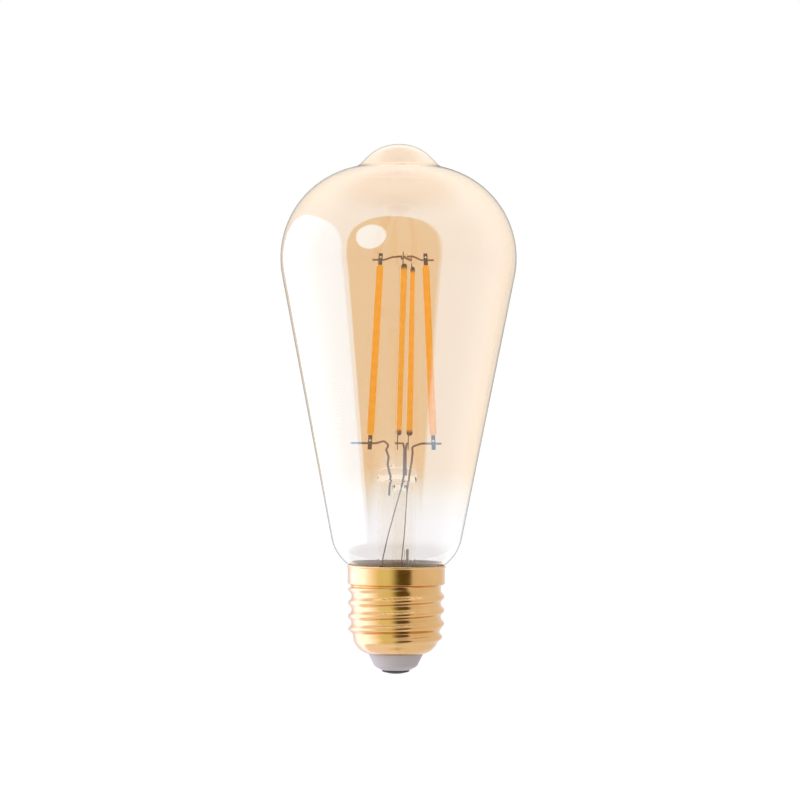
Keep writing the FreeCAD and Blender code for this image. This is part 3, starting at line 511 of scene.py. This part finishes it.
def build_cement():
    """Cement ring with an uneven upper edge against the glass."""
    outline = [(11.3, 22.4), (11.7, 22.4), (11.7, 23.8), (12.75, 24.5), (12.75, 28.5),
               (13.0, 28.85), (12.95, 29.15), (12.6, 29.3), (11.9, 28.55), (11.35, 27.2)]

    def uneven(azimuth, r, z):
        if z < 28.8:
            return r, z
        place = Vector((math.cos(azimuth) * 3, math.sin(azimuth) * 3, r))
        swell = noise.noise(place) * 0.16 + noise.noise(place * 4) * 0.06
        return r - abs(swell) * 0.6, z + min(0.0, swell)

    turned("cement_ring", outline, FINISH["cement"], ["base_cement"], steps=192,
           wobble=uneven)


# ---------------------------------------------------------------- filaments

def strip_ends(name):
    """Middle of the lower and upper end of a filament's coat, in millimetres."""
    points = [Vector(v.co) / MM for v in nodes[name].data.vertices]
    middle = (min(p.z for p in points) + max(p.z for p in points)) / 2
    ends = []
    for sign in (-1, 1):
        half = [p for p in points if sign * (p.z - middle) > 0]
        reach = max(sign * p.z for p in half)
        near = [p for p in half if reach - sign * p.z < 0.25]
        low = Vector([min(p[i] for p in near) for i in range(3)])
        high = Vector([max(p[i] for p in near) for i in range(3)])
        ends.append((low + high) / 2)
    return ends


def build_coat(side, broad, twist):
    """Moulded coat of one filament: a rounded bar that narrows at both ends.

    broad is the way that its wide face lies, and twist is its turn at the foot and head.
    """
    node = f"filament_{side}_phosphor"
    foot, head = strip_ends(node)
    along = (head - foot)
    length = along.length
    along.normalize()
    thin = along.cross(broad).normalized()
    wide = thin.cross(along)
    rows, around = 90, 28
    verts, shades = [], []
    for j in range(rows + 1):
        t = j / rows
        end = min(t, 1 - t) * length
        turn = math.radians(twist[0] + (twist[1] - twist[0]) * t)
        across = Matrix.Rotation(turn, 3, along) @ wide
        through = Matrix.Rotation(turn, 3, along) @ thin
        shades += [smoothstep(1.9, 0.7, end) if side in ("front", "back") else 0.0] * around
        taper = min(1.0, 0.55 + 0.45 * math.sqrt(max(0.0, 1 - (1 - min(end, 0.9) / 0.9) ** 2)))
        for i in range(around):
            angle = 2 * math.pi * i / around
            c, s = math.cos(angle), math.sin(angle)
            squarish = (abs(c) ** 2.8 + abs(s) ** 2.8) ** (-1 / 2.8)
            ripple = 1 + 0.02 * noise.noise(Vector((i * 0.3, t * 22, hash_side(side))))
            size = squarish * taper * ripple
            point = (foot + along * (t * length) + across * (c * size * COAT_HALF_WIDE)
                     + through * (s * size * COAT_HALF_THIN))
            verts.append(tuple(point))
    faces = ring_faces(rows + 1, around)
    faces.append(list(range(around))[::-1])
    faces.append([rows * around + i for i in range(around)])
    coat = make_piece(f"coat_{side}", verts, faces, FINISH["phosphor_coat"],
                      [node])
    tail = coat.data.attributes.new("tail", "FLOAT", "POINT")
    for place, shade in zip(tail.data, shades):
        place.value = shade


def hash_side(side):
    """A fixed number for each filament, so that no two have the same ripples."""
    return 7.3 * ["left", "right", "front", "back"].index(side)


# ---------------------------------------------------------------- pieces kept from the CAD model

def finish_nodes():
    """Give every CAD piece that stays the finish of its own material slot."""
    slots = {part["node"]: part["material_slot"] for part in frame["record"]["subparts"]}
    for name, node in nodes.items():
        material = FINISH[slots[name]]
        if not node.material_slots:
            node.data.materials.append(material)
        for place in node.material_slots:
            place.material = material


# ---------------------------------------------------------------- stage, light and camera

def on_dome(azimuth, elevation, distance):
    """A place seen from the lamp at so many degrees right of the camera, and above it."""
    a, e = math.radians(azimuth), math.radians(elevation)
    offset = Vector((math.sin(a) * math.cos(e), -math.cos(a) * math.cos(e), math.sin(e)))
    return LAMP_MIDDLE + offset * distance


def studio_dome(name, lit, level, step):
    """Light from all round that shows only in the gloss of the lit pieces.

    level gives its colour and strength for an azimuth and elevation in degrees.
    """
    across, up = 360 // step, 180 // step
    verts, shades = [], []
    for j in range(up + 1):
        for i in range(across):
            azimuth, elevation = i * step - 180, j * step - 90
            verts.append(on_dome(azimuth, elevation, DOME_RADIUS))
            shades.append(level(azimuth, elevation))
    faces = ring_faces(up + 1, across)
    material = bpy.data.materials.new(name)
    material.use_nodes = True
    tree = material.node_tree
    tree.nodes.clear()
    shade = add(tree, "ShaderNodeAttribute", attribute_name="level")
    glow = add(tree, "ShaderNodeEmission")
    through = add(tree, "ShaderNodeBsdfTransparent")
    both = add(tree, "ShaderNodeAddShader")
    out = add(tree, "ShaderNodeOutputMaterial")
    tree.links.new(shade.outputs["Color"], glow.inputs["Color"])
    tree.links.new(glow.outputs["Emission"], both.inputs[0])
    tree.links.new(through.outputs["BSDF"], both.inputs[1])
    tree.links.new(both.outputs["Shader"], out.inputs["Surface"])
    material.cycles.emission_sampling = "NONE"
    dome = stage_mesh(name, verts, faces, material)
    colours = dome.data.attributes.new("level", "FLOAT_COLOR", "POINT")
    for place, shade in zip(colours.data, shades):
        place.color = (*shade, 1)
    dome.visible_camera = False
    dome.visible_transmission = False
    dome.visible_diffuse = False
    dome.visible_shadow = False
    receivers = bpy.data.collections.new(name)
    for piece in lit:
        receivers.objects.link(piece)
    dome.light_linking.receiver_collection = receivers


def blend(one, other, share):
    return tuple(a + (b - a) * share for a, b in zip(one, other))


def from_behind(azimuth, elevation):
    """Angle between a direction and the one straight behind the lamp."""
    a, e = math.radians(azimuth), math.radians(elevation)
    return math.degrees(math.acos(max(-1.0, min(1.0, -math.cos(a) * math.cos(e)))))


def arched(elevation, foot, rise, reach, power):
    """Half the width of an area that is straight up to its foot and rounded over its rise."""
    lift = max(0.0, (elevation - foot) / rise)
    return reach * (1 - lift ** power) ** (1 / power) if lift < 1 else None


def light_on_glass(azimuth, elevation):
    """Even light with a dark rounded opening in front, a softbox and a round lamp at its left."""
    even = 3.8 * (0.05 + 0.95 * smoothstep(8, 92, from_behind(azimuth, elevation)))
    even *= 1 - 0.35 * smoothstep(45, 70, elevation)
    even *= 1 - 0.8 * smoothstep(-18, -46, elevation)
    level = (even, even, even)
    # The dark opening, whose middle is a little left of the front.
    width = arched(elevation, 14, 32.5, 46.5, 2.4)
    if width is not None:
        left = 1 - smoothstep(-0.8, 0.8, -4 - width - azimuth)
        right = 1 - smoothstep(-5.0, 2.0, azimuth + 4 - width)
        level = blend(level, (0, 0, 0), left * right * smoothstep(-23.6, -21.6, elevation))
    # The softbox at the left, rounder and wider on its far side.
    reach, power = (39, 2.4) if azimuth > -95 else (54, 1.9)
    width = arched(elevation, 5, 28.6, reach, power)
    if width is not None:
        inside = 1 - smoothstep(-1.5, 1.5, abs(azimuth + 95) - width)
        inside *= smoothstep(-36, -24, elevation)
        level = blend(level, (6.2, 6.3, 6.5), inside)
    # The round lamp in front of the opening.
    off = math.hypot((azimuth + 27.5) * math.cos(math.radians(elevation)), elevation - 21)
    return blend(level, (6.3, 5.8, 5.6), 1 - smoothstep(13.2, 14.8, off))


def light_on_metal(azimuth, elevation):
    """A dark strip beside a dim one in front, bright at the left and even all round."""
    even = (0.95, 0.93, 1.03)
    bright = blend((1.15, 1.15, 1.05), (2.1, 2.2, 3.9), smoothstep(-47, -90, azimuth))
    dim = (0.92, 0.95, 0.62)
    dark = (0.12, 0.08, 0.02)
    beside = (0.86, 0.80, 0.80)
    level = blend(bright, even, smoothstep(60, 25, from_behind(azimuth, elevation)))
    if azimuth > -47:
        level = blend(dim, dark, smoothstep(-18, 7, azimuth))
        level = blend(level, beside, smoothstep(33, 39, azimuth))
        level = blend(level, even, smoothstep(55, 110, azimuth))
    high = smoothstep(28, 42, elevation) + smoothstep(-38, -46, elevation)
    return blend(level, even, min(1.0, high) * (0.62 if azimuth > -47 else 0.85))


def stage_mesh(name, verts, faces, material):
    mesh = bpy.data.meshes.new(name)
    mesh.from_pydata([tuple(v) for v in verts], [], faces)
    mesh.materials.append(material)
    thing = bpy.data.objects.new(name, mesh)
    scene.collection.objects.link(thing)
    return thing


def build_stage(envelope):
    """White surroundings, a pale floor and soft light from all round."""
    world = bpy.data.worlds.new("White")
    scene.world = world
    world.use_nodes = True
    world.node_tree.nodes["Background"].inputs["Color"].default_value = (1, 1, 1, 1)
    world.node_tree.nodes["Background"].inputs["Strength"].default_value = 1.0
    world.cycles_visibility.glossy = False

    data = bpy.data.lights.new("soft_left", "AREA")
    data.size = 0.8
    data.energy = 11.0
    light = bpy.data.objects.new("soft_left", data)
    light.location = on_dome(-75, 12, 0.9)
    light.rotation_euler = (Vector((0, 0, 0.06)) - light.location).to_track_quat("-Z", "Y").to_euler()
    light.visible_glossy = False
    light.visible_transmission = False
    scene.collection.objects.link(light)

    others = [thing for thing in scene.objects
              if thing.type == "MESH" and thing is not envelope and not thing.hide_render]
    studio_dome("light_on_glass", [envelope], light_on_glass, 1)
    studio_dome("light_on_metal", others, light_on_metal, 2)

    material, _, shader = new_material("pale_floor")
    shader.inputs["Base Color"].default_value = (0.5, 0.5, 0.5, 1)
    shader.inputs["Emission Color"].default_value = (1, 1, 1, 1)
    shader.inputs["Emission Strength"].default_value = 0.8
    size, depth = 6.0, -0.7
    floor = stage_mesh("floor", [(-size, -size, depth), (size, -size, depth),
                                 (size, size, depth), (-size, size, depth)],
                       [[0, 1, 2, 3]], material)
    floor.visible_glossy = False


def build_camera():
    data = bpy.data.cameras.new("Camera")
    data.sensor_width = 36
    data.lens = 124.5
    data.clip_start = 0.01
    camera = bpy.data.objects.new("Camera", data)
    scene.collection.objects.link(camera)
    place = Vector((0.00066, -0.75, 0.059))
    upward = math.atan2(0.074 - place.z, -place.y)
    roll = math.radians(0.39)
    camera.matrix_world = (Matrix.Translation(place) @ Matrix.Rotation(upward, 4, "X")
                           @ Matrix.Rotation(math.pi / 2, 4, "X")
                           @ Matrix.Rotation(roll, 4, "Z"))
    scene.camera = camera


def set_light_paths():
    """Enough bounces for several layers of glass, and a plain view transform."""
    scene.cycles.max_bounces = 28
    scene.cycles.transmission_bounces = 24
    scene.cycles.glossy_bounces = 10
    scene.cycles.diffuse_bounces = 4
    scene.cycles.use_denoising = True
    scene.view_settings.view_transform = "Standard"


finish_nodes()
envelope = build_glass()
build_cap()
build_insulator()
build_contact()
build_cement()
build_coat("left", Vector((1, 0, 0)), (0, 6))
build_coat("right", Vector((1, 0, 0)), (0, -6))
build_coat("front", Vector((0, 1, 0)), (6, 40))
build_coat("back", Vector((0, 1, 0)), (-42, 0))
build_stage(envelope)
build_camera()
set_light_paths()
